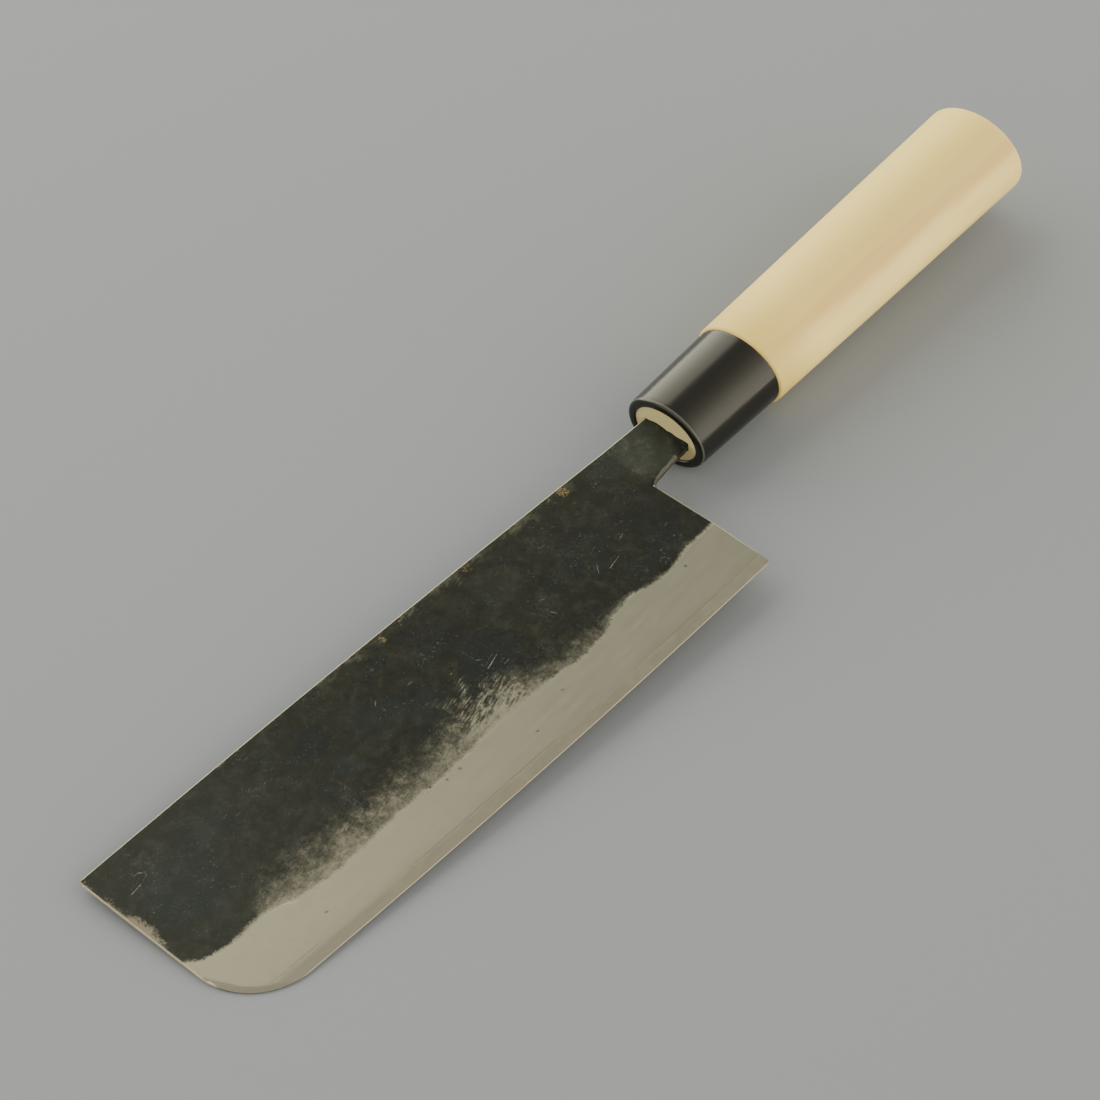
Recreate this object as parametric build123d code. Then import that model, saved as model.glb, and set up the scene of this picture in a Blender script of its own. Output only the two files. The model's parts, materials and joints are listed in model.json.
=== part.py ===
from build123d import *
import os
from itertools import combinations
from math import radians, sin, sqrt, tan
from operator import itemgetter

# A nakiri, the straight-edged vegetable knife, with a forged three-layer blade and an oval
# white-wood handle. It is modelled along its handle: x runs from the front end of the blade
# to the butt, y from the cutting edge to the spine and z out of the left side of the blade,
# with x = 0 at the front of the ferrule. At the end it is laid down on its right side.
# Lengths are in millimetres, and tilts, droops, leans and bevels in degrees.

# Blade seen from the side
blade_length = 163.9
heel_height = 51.2
front_height = 52.5
spine_tilt = 3.2
spine_bow = 0.8
edge_belly = 1.3
heel_lean = 0.15
front_lean = 0.3
front_radius = 17.4
heel_radius = 0.9
spine_corner_radius = 0.8

# Neck between the heel and the handle, and the tang inside the handle
neck_length = 14.8
neck_height = 13.3
neck_above_axis = 6.4
neck_droop = 5.0
neck_radius = 2.0
tang_depth = 92.0
tang_end_height = 4.5
tang_end_above_axis = 2.0

# Thickness of the steel, and the grind
neck_thickness = 2.6
front_thickness = 1.0
tang_end_thickness = 1.8
core_thickness = 0.7
bevel_height_heel = 16.4
bevel_height_front = 20.0
edge_strip = 3.0
edge_land = 0.06
front_bevel = 12.0
front_bevel_end = 62.0

# Ferrule. An oval's half thickness is its half width times oval_share.
oval_share = 0.806
ferrule_length = 28.9
ferrule_front_half_width = 11.85
ferrule_rear_half_width = 12.6
lip_radius = 1.1
mouth_radius = 0.25
bore_half_width = 9.5
bore_half_thickness = 7.25

# Wooden handle
handle_length = 129.9
shoulder_half_width = 13.2
butt_half_width = 14.8
shoulder_radius = 0.8
butt_radius = 1.7
tenon_recess = 0.35

# Fits, and how far a cutting tool reaches past what it cuts
tenon_clearance = 0.1
tang_clearance = 0.1
tang_end_clearance = 1.5
overrun = 5.0

# Densities for the centre of mass, in grams per cubic millimetre
steel_density = 0.00785
wood_density = 0.00052
ferrule_density = 0.0014


# Outline of the steel, worked out from the sizes above

heel_x = -neck_length
front_x = -(neck_length + blade_length)
neck_bottom = neck_above_axis - neck_height


def spine_y(x):
    """Height of the spine's chord, which runs straight on through the neck."""
    return neck_above_axis - x * tan(radians(spine_tilt))


spine_heel = Vector(heel_x, spine_y(heel_x))
spine_front = Vector(front_x, spine_y(front_x))
heel_corner = spine_heel - Vector(heel_height * sin(radians(heel_lean)), heel_height)
front_corner = spine_front + Vector(front_height * sin(radians(front_lean)), -front_height)
inner_corner = Vector(heel_x, neck_bottom - neck_length * tan(radians(neck_droop)))

edge_chord = front_corner - heel_corner
edge_radius = edge_chord.length ** 2 / (8 * edge_belly) + edge_belly / 2
edge_up = Vector(edge_chord.Y, -edge_chord.X).normalized()
edge_centre = (heel_corner + front_corner) / 2 + edge_up * (edge_radius - edge_belly)


def edge_y(x):
    """Height of the cutting edge, which is one wide arc."""
    return edge_centre.Y - sqrt(edge_radius ** 2 - (x - edge_centre.X) ** 2)


def corner(face, point):
    """The vertex of a face that lies nearest to a point."""
    return face.vertices().sort_by_distance(point)[0]


def blade_outline():
    """The blade and its neck seen from the side, up to the front of the ferrule."""
    face = make_face(
        Line((0, neck_above_axis), spine_heel)
        + SagittaArc(spine_heel, spine_front, -spine_bow)
        + Line(spine_front, front_corner)
        + ThreePointArc(front_corner, edge_centre - edge_up * edge_radius, heel_corner)
        + Polyline(heel_corner, inner_corner, (0, neck_bottom), (0, neck_above_axis))
    )
    face = fillet(corner(face, front_corner), front_radius)
    face = fillet(corner(face, spine_front), spine_corner_radius)
    face = fillet(corner(face, heel_corner), heel_radius)
    return fillet(corner(face, inner_corner), neck_radius)


# Steel: the ground body first, then its three layers

def half_thickness(x):
    """Half the thickness of the flats, which get thinner towards the front end."""
    return (neck_thickness + x / front_x * (front_thickness - neck_thickness)) / 2


def flats(ends):
    """The plain forged plate between two places along x, thinner towards the front end."""
    corners = [Vector(x, 0, half_thickness(x)) for x in ends]
    corners += [Vector(x, 0, -half_thickness(x)) for x in reversed(ends)]
    profile = make_face(Polyline(*corners, close=True))
    return extrude(profile, front_height + heel_height, dir=(0, 1, 0), both=True)


def grind_section(x):
    """Cross-section at x of the wedge that the wide bevel and the edge bevel are ground to.

    It widens past the flats above, and starts just below the edge, so that the outline cuts it."""
    along = (x - heel_x) / (front_x - heel_x)
    bevel_height = bevel_height_heel + along * (bevel_height_front - bevel_height_heel)
    core = core_thickness / 2
    land = edge_land / 2
    bevel_slope = (half_thickness(x) - core) / (bevel_height - edge_strip)
    edge_slope = (core - land) / edge_strip
    shoulder = edge_y(x) + edge_strip
    top = spine_y(x) + overrun
    side = [
        (top, core + (top - shoulder) * bevel_slope),
        (shoulder, core),
        (edge_y(x) - land / 2 / edge_slope, land / 2),
    ]
    points = [Vector(x, y, z) for y, z in side]
    points += [Vector(x, y, -z) for y, z in reversed(side)]
    return make_face(Polyline(*points, close=True))


def front_lens(outline):
    """A flat lens that grinds the rounded front corner thin, and leaves the rest alone.

    Its rim follows the edge and the front corner's arc, then runs straight on past the
    front end, so the bevel fades out there."""
    arc = outline.edges().filter_by(GeomType.CIRCLE).sort_by_distance(front_corner)[0]
    centre = arc.arc_center
    slope = tan(radians(front_bevel))
    rim_drop = edge_land / slope

    def rim(inset):
        start = Vector(0, -1).rotate(Axis.Z, -front_bevel_end)
        touch = (centre - edge_centre).normalized()
        first = centre + touch * (front_radius - inset)
        last = centre + start * (front_radius - inset)
        middle = centre + (start + touch).normalized() * (front_radius - inset)
        away = last + Vector(start.Y, -start.X) * front_height
        right = Vector(overrun, edge_centre.Y - sqrt((edge_radius - inset) ** 2
                       - (overrun - edge_centre.X) ** 2))
        between = (right + first) / 2
        belly = edge_centre + (between - edge_centre).normalized() * (edge_radius - inset)
        top = spine_front.Y + front_height
        return make_face(
            ThreePointArc(right, belly, first)
            + ThreePointArc(first, middle, last)
            + Polyline(last, away, (away.X, top), (overrun, top), right)
        )

    crown = Pos(0, 0, front_thickness) * rim(front_thickness / slope - rim_drop)
    half = loft([rim(-rim_drop), crown], ruled=True) + extrude(crown, neck_thickness)
    return half + mirror(half, Plane.XY)


def tang(gap=0.0, end_gap=0.0):
    """The tapered stick inside the handle. With gaps it is the slot that it sits in."""
    def section(x, top, height, thickness):
        size = Rectangle(height + 2 * gap, thickness + 2 * gap)
        return Plane((x, top - height / 2, 0), x_dir=(0, 1, 0), z_dir=(1, 0, 0)) * size

    return loft([
        section(0, neck_above_axis, neck_height, neck_thickness),
        section(tang_depth + end_gap, tang_end_above_axis, tang_end_height, tang_end_thickness),
    ], ruled=True)


def layers():
    """The steel body cut along its length into the hard core and its two soft claddings."""
    outline = blade_outline()
    plate = extrude(outline, neck_thickness, both=True)
    ends = (overrun, front_x - overrun)
    grind = loft([grind_section(x) for x in (ends[0], front_x / 2, ends[1])])
    steel = (plate & flats(ends) & grind & front_lens(outline)) + tang()
    upper = Plane.XY.offset(core_thickness / 2)
    lower = Plane.XY.offset(-core_thickness / 2)
    left = split(steel, upper, keep=Keep.TOP)
    right = split(steel, lower, keep=Keep.BOTTOM)
    core = split(split(steel, upper, keep=Keep.BOTTOM), lower, keep=Keep.TOP)
    return core, left, right


# Handle

def oval(x, half_width, half_thickness=None):
    """An ellipse square to the handle at x, wide across y."""
    across = Plane((x, 0, 0), x_dir=(0, 1, 0), z_dir=(1, 0, 0))
    return across * Ellipse(half_width, half_thickness or half_width * oval_share)


def ferrule():
    """A slightly flared oval sleeve with a rounded front lip."""
    sleeve = loft([
        oval(0, ferrule_front_half_width),
        oval(ferrule_length, ferrule_rear_half_width),
    ], ruled=True)
    sleeve = fillet(sleeve.edges().sort_by(Axis.X)[0], lip_radius)
    bore = extrude(oval(-overrun, bore_half_width, bore_half_thickness),
                   ferrule_length + 2 * overrun)
    sleeve -= bore
    mouth = sleeve.faces().sort_by(Axis.X)[0].inner_wires()[0].edges()
    return fillet(mouth, mouth_radius)


def handle():
    """The oval wooden grip, its tenon through the ferrule and the slot for the tang."""
    grip = loft([
        oval(ferrule_length, shoulder_half_width),
        oval(handle_length, butt_half_width),
    ], ruled=True)
    grip = fillet(grip.edges().sort_by(Axis.X)[-1], butt_radius)
    grip = fillet(grip.edges().sort_by(Axis.X)[0], shoulder_radius)
    tenon = extrude(
        oval(tenon_recess, bore_half_width - tenon_clearance, bore_half_thickness - tenon_clearance),
        ferrule_length,
    )
    return grip + tenon - tang(tang_clearance, tang_end_clearance)


core_steel, cladding_left, cladding_right = layers()
pieces = {
    "core_steel": core_steel,
    "cladding_left": cladding_left,
    "cladding_right": cladding_right,
    "ferrule": ferrule(),
    "handle": handle(),
}
densities = {"ferrule": ferrule_density, "handle": wood_density}


# How it lies: on the handle and on two places near the blade's front end

def centre_of_mass():
    """Centre of mass of all the pieces."""
    total = Vector(0, 0, 0)
    mass = 0
    for name, piece in pieces.items():
        weight = piece.volume * densities.get(name, steel_density)
        total += piece.center(CenterOf.MASS) * weight
        mass += weight
    return total / mass


def places_below(normal):
    """Places on the lower side that can touch a floor with this upward normal."""
    ovals = [
        (lip_radius, ferrule_front_half_width),
        (ferrule_length, ferrule_rear_half_width),
        (ferrule_length + shoulder_radius, shoulder_half_width),
        (handle_length - butt_radius, butt_half_width),
    ]
    places = []
    for x, wide in ovals:
        deep = wide * oval_share
        reach = sqrt((wide * normal.Y) ** 2 + (deep * normal.Z) ** 2)
        places.append(Vector(x, -wide ** 2 * normal.Y / reach, -deep ** 2 * normal.Z / reach))
    end_x = front_x + spine_corner_radius
    arc_x = front_x + front_radius
    places.append(Vector(end_x, spine_y(end_x), -half_thickness(end_x)))
    places.append(Vector(end_x, edge_y(front_x) + bevel_height_front, -half_thickness(end_x)))
    places.append(Vector(arc_x, edge_y(arc_x) + edge_strip, -core_thickness / 2))
    places.append(Vector(heel_x, edge_y(heel_x) + edge_strip, -core_thickness / 2))
    places.append(Vector(heel_x, edge_y(heel_x) + bevel_height_heel, -half_thickness(heel_x)))
    return places


def floor_under(places, centre):
    """The plane through three of the places that is under the centre and below the others."""
    planes = []
    for a, b, c in combinations(places, 3):
        normal = (b - a).cross(c - a).normalized()
        if normal.Z < 0:
            b, c = c, b
            normal = -normal
        sides = ((a, b), (b, c), (c, a))
        if all((q - p).cross(centre - p).dot(normal) > 0 for p, q in sides):
            lowest = min((p - a).dot(normal) for p in places)
            planes.append((lowest, a, normal))
    _, touch, normal = max(planes, key=itemgetter(0))
    return Plane(touch, x_dir=Vector(1, 0, 0) - normal * normal.X, z_dir=normal)


floor = Plane.XY
centre = centre_of_mass()
for _ in range(4):
    floor = floor_under(places_below(floor.z_dir), centre)

lying = Compound(children=[floor.location.inverse() * piece for piece in pieces.values()])
box = lying.bounding_box()
place = Pos(-box.center().X, -box.center().Y, -box.min.Z) * floor.location.inverse()

os.makedirs("parts", exist_ok=True)
for name, piece in pieces.items():
    export_step(place * piece, f"parts/{name}.step")
    print(name, round(piece.volume, 1))
print("centre of mass", centre, "floor normal", floor.z_dir)
print("size", box.size)
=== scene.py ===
import json
import bpy
import numpy as np
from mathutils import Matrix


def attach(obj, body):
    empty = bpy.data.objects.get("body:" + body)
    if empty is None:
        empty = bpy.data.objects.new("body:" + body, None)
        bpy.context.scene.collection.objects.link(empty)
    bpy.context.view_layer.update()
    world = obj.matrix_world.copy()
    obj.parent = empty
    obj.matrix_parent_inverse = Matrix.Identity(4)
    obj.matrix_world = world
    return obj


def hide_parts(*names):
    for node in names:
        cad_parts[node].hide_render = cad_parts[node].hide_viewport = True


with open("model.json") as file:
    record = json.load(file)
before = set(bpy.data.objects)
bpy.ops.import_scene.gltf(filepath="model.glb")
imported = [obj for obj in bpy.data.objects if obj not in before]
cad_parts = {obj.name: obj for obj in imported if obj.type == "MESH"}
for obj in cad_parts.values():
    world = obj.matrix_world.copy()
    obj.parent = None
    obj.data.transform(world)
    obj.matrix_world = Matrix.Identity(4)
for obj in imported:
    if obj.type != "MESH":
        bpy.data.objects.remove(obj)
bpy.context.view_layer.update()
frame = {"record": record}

# How the knife lies: on its right side, on the handle and the blade's front end. Its own
# axes run from the front end to the butt, from the edge to the spine and out of the left
# side, from where the handle's axis meets the front of the ferrule. All lengths are metres.
mm = 0.001
handle_length = 129.9 * mm
mounts = {mount["name"]: mount for mount in frame["record"]["mounts"]}
to_butt = np.array(mounts["butt_end"]["axis"])
out_of_side = np.array(mounts["left_blade_flat"]["axis"])
out_of_side = out_of_side - to_butt * (out_of_side @ to_butt)
out_of_side /= np.linalg.norm(out_of_side)
knife_axes = np.stack([to_butt, np.cross(out_of_side, to_butt), out_of_side])
knife_origin = np.array(mounts["butt_end"]["pos_m"]) - to_butt * handle_length


# Hard core of the blade, the middle of three forged layers. It shows as a slightly darker
# strip along the cutting edge and as a fine line in the end faces, and runs on as the
# middle of the tang inside the handle.
blade_length = 163.9 * mm
heel_height = 51.2 * mm
front_height = 52.5 * mm
spine_slope = np.tan(np.radians(3.2))
spine_bow = 0.8 * mm
edge_belly = 1.3 * mm
heel_lean = np.tan(np.radians(0.15))
front_lean = np.tan(np.radians(0.3))
front_radius = 17.4 * mm
heel_radius = 0.9 * mm
spine_corner_radius = 0.8 * mm
neck_length = 14.8 * mm
neck_height = 13.3 * mm
neck_above_axis = 6.4 * mm
neck_droop = np.tan(np.radians(5.0))
neck_radius = 2.0 * mm
neck_thickness = 2.6 * mm
front_thickness = 1.0 * mm
core_thickness = 0.7 * mm
bevel_height_heel = 16.4 * mm
bevel_height_front = 20.0 * mm
edge_strip = 3.0 * mm
edge_land = 0.06 * mm
edge_inset = 0.035 * mm
surface_inset = 0.005 * mm
front_bevel = np.tan(np.radians(12.0))
front_bevel_end = np.radians(28.0)
tang_depth = 92.0 * mm
tang_end_height = 4.5 * mm
tang_end_above_axis = 2.0 * mm
tang_end_thickness = 1.8 * mm
neck_bottom = neck_above_axis - neck_height
heel_x = -neck_length
front_x = heel_x - blade_length


def spine_chord(x):
    """The straight line from the ferrule along the neck and the spine."""
    return neck_above_axis - x * spine_slope


heel_corner = np.array([heel_x - heel_height * heel_lean,
                        spine_chord(heel_x) - heel_height + edge_inset])
front_corner = np.array([front_x + front_height * front_lean,
                         spine_chord(front_x) - front_height + edge_inset])
edge_chord = front_corner - heel_corner
edge_radius = edge_chord @ edge_chord / (8 * edge_belly) + edge_belly / 2
edge_up = np.array([edge_chord[1], -edge_chord[0]]) / np.linalg.norm(edge_chord)
edge_centre = (heel_corner + front_corner) / 2 + edge_up * (edge_radius - edge_belly)
arc_x = front_x + front_radius
arc_centre = np.array([arc_x, edge_centre[1] - np.sqrt(
    (edge_radius - front_radius) ** 2 - (arc_x - edge_centre[0]) ** 2)])
arc_touch = (arc_centre - edge_centre) / (edge_radius - front_radius)


def edge_y(x):
    """The cutting edge, a wide arc: its centre's height less the arc's rise at x."""
    return edge_centre[1] - np.sqrt(edge_radius ** 2 - (x - edge_centre[0]) ** 2)


def smooth_step(low, high, value):
    """0 below low, 1 above high, and 3 t squared minus 2 t cubed in between."""
    t = np.clip((value - low) / (high - low), 0, 1)
    return t * t * (3 - 2 * t)


def disc_from_square(a, b):
    """Bends a unit square's far corner into a quarter circle: each side is shortened by the
    root of one less half the other's square, and nothing moves where either is negative."""
    inside = (a > 0) & (b > 0)
    return (np.where(inside, a * np.sqrt(np.clip(1 - b * b / 2, 0, 1)), a),
            np.where(inside, b * np.sqrt(np.clip(1 - a * a / 2, 0, 1)), b), inside)


def steel_plan(blade_columns, neck_columns, tang_columns, top_rows, low_shares):
    """Places of a grid over the blade, neck and tang seen from the side, and its quads.

    Rows run from the spine to the edge and columns from the front end to the end of the
    tang. Past the heel only the top rows go on, down to the neck's bottom. Near the rounded
    front corner the grid is bent into rings round the arc's centre."""
    columns = blade_columns + neck_columns + tang_columns
    x = np.concatenate([
        np.linspace(front_x, heel_x, blade_columns + 1),
        np.linspace(heel_x, 0, neck_columns + 1)[1:],
        np.linspace(0, tang_depth, tang_columns + 1)[1:],
    ])
    spine_low = heel_x * neck_droop + neck_bottom
    top_share = (spine_chord(heel_x) - spine_low) / heel_height
    share = np.concatenate([np.linspace(0, top_share, top_rows + 1),
                            top_share + (1 - top_share) * np.asarray(low_shares)])
    x, share = np.meshgrid(x, share)
    along = np.clip((x - front_x) / blade_length, 0, 1)
    top = spine_chord(x) + spine_bow * 4 * along * (1 - along)
    above_edge = (top - edge_y(np.minimum(x, heel_x))) * (1 - share)

    shift = arc_touch[0] * np.clip(front_radius - above_edge, 0, None)
    shift = shift * (1 - smooth_step(0, front_radius, x - arc_x)) * (x > arc_x)
    y = edge_y(np.minimum(x + shift, heel_x)) + above_edge
    left = arc_centre[1] - front_radius + above_edge
    above_arc = above_edge / front_radius - 1
    y = np.where(x < arc_x, left + (y - left) * smooth_step(0, 1.5, above_arc), y)
    a, b, inside = disc_from_square((arc_x - x) / front_radius, 1 - above_edge / front_radius)
    turn = np.arctan2(b, a) * np.arctan2(-arc_touch[1], -arc_touch[0]) / (np.pi / 2)
    reach = front_radius * np.hypot(a, b)
    x, y = (np.where(inside, arc_centre[0] - reach * np.cos(turn), x + shift),
            np.where(inside, arc_centre[1] - reach * np.sin(turn), y))

    for centre_x, centre_y, radius, to_front, to_edge in (
            (front_x + spine_corner_radius, spine_chord(front_x) - spine_corner_radius,
             spine_corner_radius, -1, 1),
            (heel_x - heel_radius, heel_corner[1] + heel_radius, heel_radius, 1, -1)):
        near = (x - centre_x) * to_front
        a, b, inside = disc_from_square(near / radius, (y - centre_y) * to_edge / radius)
        inside &= near < 2 * radius
        x = np.where(inside, centre_x + a * radius * to_front, x)
        y = np.where(inside, centre_y + b * radius * to_edge, y)
    blade = along < 1
    blade[:, blade_columns] = True
    lean = (1 - along) * front_lean - along * heel_lean
    x = np.where(blade, x + (top - y) * lean * (share > 0), x)

    down = share[:top_rows + 1, blade_columns + 1:] / top_share
    past = x[:top_rows + 1, blade_columns + 1:]
    depth = np.clip(past / tang_depth, 0, 1)
    high = np.where(past < 0, spine_chord(past),
                    neck_above_axis + depth * (tang_end_above_axis - neck_above_axis))
    tall = np.where(past < 0, high - neck_bottom - past * neck_droop,
                    neck_height + depth * (tang_end_height - neck_height))
    y[:top_rows + 1, blade_columns + 1:] = high - down * tall
    x[top_rows + 1:, blade_columns + 1:] = 0

    corner = x[top_rows, blade_columns], y[top_rows, blade_columns]
    bend = np.array([corner[0] + neck_radius, corner[1] - neck_radius])
    for rows, cols, distance, upright in (
            (slice(top_rows, None), blade_columns, corner[1] - y[top_rows:, blade_columns], True),
            (top_rows, slice(blade_columns, blade_columns + neck_columns + 1),
             x[top_rows, blade_columns:blade_columns + neck_columns + 1] - corner[0], False)):
        turn = np.pi / 4 * np.clip(1 - distance / neck_radius, 0, 1)
        near = distance < neck_radius
        across = bend[0] - neck_radius * np.where(upright, np.cos(turn), np.sin(turn))
        up = bend[1] + neck_radius * np.where(upright, np.sin(turn), np.cos(turn))
        x[rows, cols] = np.where(near, across, x[rows, cols])
        y[rows, cols] = np.where(near, up, y[rows, cols])

    number = np.arange(x.size).reshape(x.shape)
    quads = np.stack([number[:-1, :-1], number[1:, :-1], number[1:, 1:], number[:-1, 1:]], -1)
    real = np.ones(quads.shape[:2], bool)
    real[top_rows:, blade_columns:] = False
    return x.ravel(), y.ravel(), quads[real]


def steel_half_thickness(x, y):
    """Half the steel's thickness: the least of the tapered flat, the two bevels and the front
    corner's bevel, which rises with the distance inside its rim. The tang tapers by itself."""
    flat = (neck_thickness + x / front_x * (front_thickness - neck_thickness)) / 2
    core, land = core_thickness / 2, edge_land / 2
    above = y - edge_y(np.clip(x, front_x, heel_x))
    along = np.clip((x - heel_x) / (front_x - heel_x), 0, 1)
    bevel_height = bevel_height_heel + along * (bevel_height_front - bevel_height_heel)
    bevel = core + (above - edge_strip) * (flat - core) / (bevel_height - edge_strip)
    strip = land + above / edge_strip * (core - land)
    out_x, out_y = x - arc_centre[0], y - arc_centre[1]
    turn = np.arctan2(-out_y, -out_x)
    ring = (turn > front_bevel_end) & (turn < np.arctan2(-arc_touch[1], -arc_touch[0]))
    inside = edge_radius - np.hypot(x - edge_centre[0], y - edge_centre[1])
    inside = np.minimum(inside, front_radius + out_x * np.cos(front_bevel_end)
                        + out_y * np.sin(front_bevel_end))
    inside = np.where(ring, np.minimum(inside, front_radius - np.hypot(out_x, out_y)), inside)
    rim = inside * front_bevel + edge_land
    blade = np.minimum(np.minimum(flat, np.where(above < edge_strip, strip, bevel)), rim)
    tang = (neck_thickness + x / tang_depth * (tang_end_thickness - neck_thickness)) / 2
    blade = np.where(x > heel_x, flat, np.maximum(blade, land))
    return np.where(x > 0, tang, blade) - surface_inset


def free_edges(quads):
    """The directed sides of quads that no second quad shares, as pairs of vertex numbers."""
    sides = np.concatenate([quads[:, [k, (k + 1) % 4]] for k in range(4)])
    name = sides.min(1).astype(np.int64) << 32 | sides.max(1).astype(np.int64)
    _, place, count = np.unique(name, return_inverse=True, return_counts=True)
    return sides[count[place] == 1]


# Corners sharper than this stay hard under the smooth shading
crease = np.radians(30)


def make_piece(name, points, polygons, material, fields=()):
    """A mesh in the row frame from points in the knife's own axes, riding with the knife.

    The points stay with it as the attribute knife, and fields are further attributes."""
    mesh = bpy.data.meshes.new(name)
    mesh.from_pydata((knife_origin + points @ knife_axes).tolist(), [], polygons)
    for title, values in {"knife": points, **dict(fields)}.items():
        kind, key = ("FLOAT_VECTOR", "vector") if values.ndim == 2 else ("FLOAT", "value")
        layer = mesh.attributes.new(title, kind, "POINT")
        layer.data.foreach_set(key, values.astype(np.float32).ravel())
    mesh.materials.append(material)
    mesh.polygons.foreach_set("use_smooth", [True] * len(mesh.polygons))
    mesh.set_sharp_from_angle(angle=crease)
    piece = bpy.data.objects.new(name, mesh)
    bpy.context.scene.collection.objects.link(piece)
    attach(piece, "root")
    return piece


class Value:
    """A number socket of a paint. Sums, differences and products of it are Math nodes."""

    def __init__(self, paint, socket):
        self.paint = paint
        self.socket = socket

    def __add__(self, other):
        return self.paint.math("ADD", self, other)

    def __sub__(self, other):
        return self.paint.math("SUBTRACT", self, other)

    def __rsub__(self, other):
        return self.paint.math("SUBTRACT", other, self)

    def __mul__(self, other):
        return self.paint.math("MULTIPLY", self, other)

    __radd__ = __add__
    __rmul__ = __mul__


class Nodes:
    """Short ways to add nodes to the tree of a material or of the world."""

    def __init__(self, owner):
        owner.use_nodes = True
        self.nodes = owner.node_tree.nodes
        self.links = owner.node_tree.links

    def put(self, socket, value):
        if isinstance(value, Value):
            self.links.new(value.socket, socket)
        elif isinstance(value, tuple) and len(value) == 3 and socket.type == "RGBA":
            socket.default_value = (*value, 1)
        else:
            socket.default_value = value

    def node(self, kind, settings, inputs, output=0):
        """One node: its settings first, then values or links for its sockets."""
        made = self.nodes.new(kind)
        for key, value in settings.items():
            setattr(made, key, value)
        for key, value in inputs.items():
            self.put(made.inputs[key], value)
        return Value(self, made.outputs[output])

    def math(self, operation, *values):
        return self.node("ShaderNodeMath", {"operation": operation}, dict(enumerate(values)))

    def field(self, name):
        """A number attribute of the mesh."""
        return self.node("ShaderNodeAttribute", {"attribute_name": name}, {}, "Fac")

    def knife(self, across=(1, 1, 1)):
        """The place in the knife's own axes in millimetres, stretched by a factor for each."""
        place = self.node("ShaderNodeAttribute", {"attribute_name": "knife"}, {}, "Vector")
        factors = tuple(factor / mm for factor in across)
        return self.node("ShaderNodeVectorMath", {"operation": "MULTIPLY"}, {0: place, 1: factors})

    def along(self, x=1, y=0, z=0):
        """The place along a direction in the knife's own axes, in millimetres."""
        return self.node("ShaderNodeVectorMath", {"operation": "DOT_PRODUCT"},
                         {0: self.knife(), 1: (x, y, z)}, "Value")

    def noise(self, place, size, detail=4.0, roughness=0.55, warp=0.0):
        """Noise from 0 to 1 with bumps about size millimetres apart."""
        return self.node("ShaderNodeTexNoise", {}, {
            "Vector": place, "Scale": 1 / size, "Detail": detail, "Roughness": roughness,
            "Distortion": warp})

    def step(self, value, low, high):
        """0 below low and 1 above high, smooth between."""
        return self.node("ShaderNodeMapRange", {"interpolation_type": "SMOOTHSTEP"},
                         {"Value": value, "From Min": low, "From Max": high})

    def mix(self, share, first, second):
        """A colour that goes from first to second as share goes from 0 to 1."""
        return self.node("ShaderNodeMix", {"data_type": "RGBA"},
                         {"Factor": share, 6: first, 7: second}, 2)

    def coats(self, colour, *layers):
        """A colour with coats laid over it in turn, each a share from 0 to 1 and a colour."""
        for share, coat in layers:
            colour = self.mix(share, colour, coat)
        return colour

    def highest(self, *values):
        """The largest of some values."""
        top = values[0]
        for value in values[1:]:
            top = self.math("MAXIMUM", top, value)
        return top

    def bump(self, height, depth):
        """A normal for a height of 0 to 1 that stands for depth in metres."""
        return self.node("ShaderNodeBump", {}, {
            "Height": height, "Distance": depth, "Strength": 1.0}, "Normal")


class Paint(Nodes):
    """A new material. Its surface is set by the names of the shader's sockets."""

    def __init__(self, name):
        self.material = bpy.data.materials.new(name)
        super().__init__(self.material)

    def surface(self, **inputs):
        shader = self.nodes["Principled BSDF"]
        for key, value in inputs.items():
            self.put(shader.inputs[key.replace("_", " ")], value)
        return self.material


def core_paint():
    """Ground hard steel: satin grey-brown by the edge, painted lighter towards the front end as the
    brighter reflection there, with a honed line at the very edge painted bright as its highlight,
    and dark with scale and tarnish where the layer shows in the spine, the heel and the neck."""
    paint = Paint("ground_core_steel")
    above = paint.field("above")
    streaks = paint.noise(paint.knife((0.15, 1, 1)), 0.7)
    stains = paint.noise(paint.knife(), 5.0)
    ground = paint.mix(paint.step(stains, 0.35, 0.7), (0.196, 0.186, 0.147), (0.233, 0.223, 0.179))
    # The honed land at the very edge, painted bright as its highlight
    honed_edge_and_highlight = 1 - paint.step(above + (streaks - 0.5) * 0.3, 0.08, 0.28)
    dark = paint.step(above, 12.0, 14.0) * paint.step(paint.along(), -177.9, -177.6)
    end = paint.step(above, 1.0, 2.0) * paint.step(paint.along(), -177.6, -177.9)
    colour = paint.coats(
        ground,
        (streaks * 0.5, (0.27, 0.26, 0.21)),
        # Painted reflection: lighter towards the front end, where the steel reflects more light
        (paint.step(paint.along(-1), 60.0, 175.0), (0.255, 0.245, 0.196)),
        (honed_edge_and_highlight, (0.46, 0.37, 0.27)),
        (dark, (0.030, 0.030, 0.022)),
        (end, (0.50, 0.40, 0.27)))
    return paint.surface(
        Base_Color=colour, Metallic=(1 - dark) * (1 - honed_edge_and_highlight * 0.6) * (1 - end * 0.8) * 0.7,
        Roughness=streaks * 0.12 + 0.30, Normal=paint.bump(streaks, 0.004 * mm))


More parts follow.
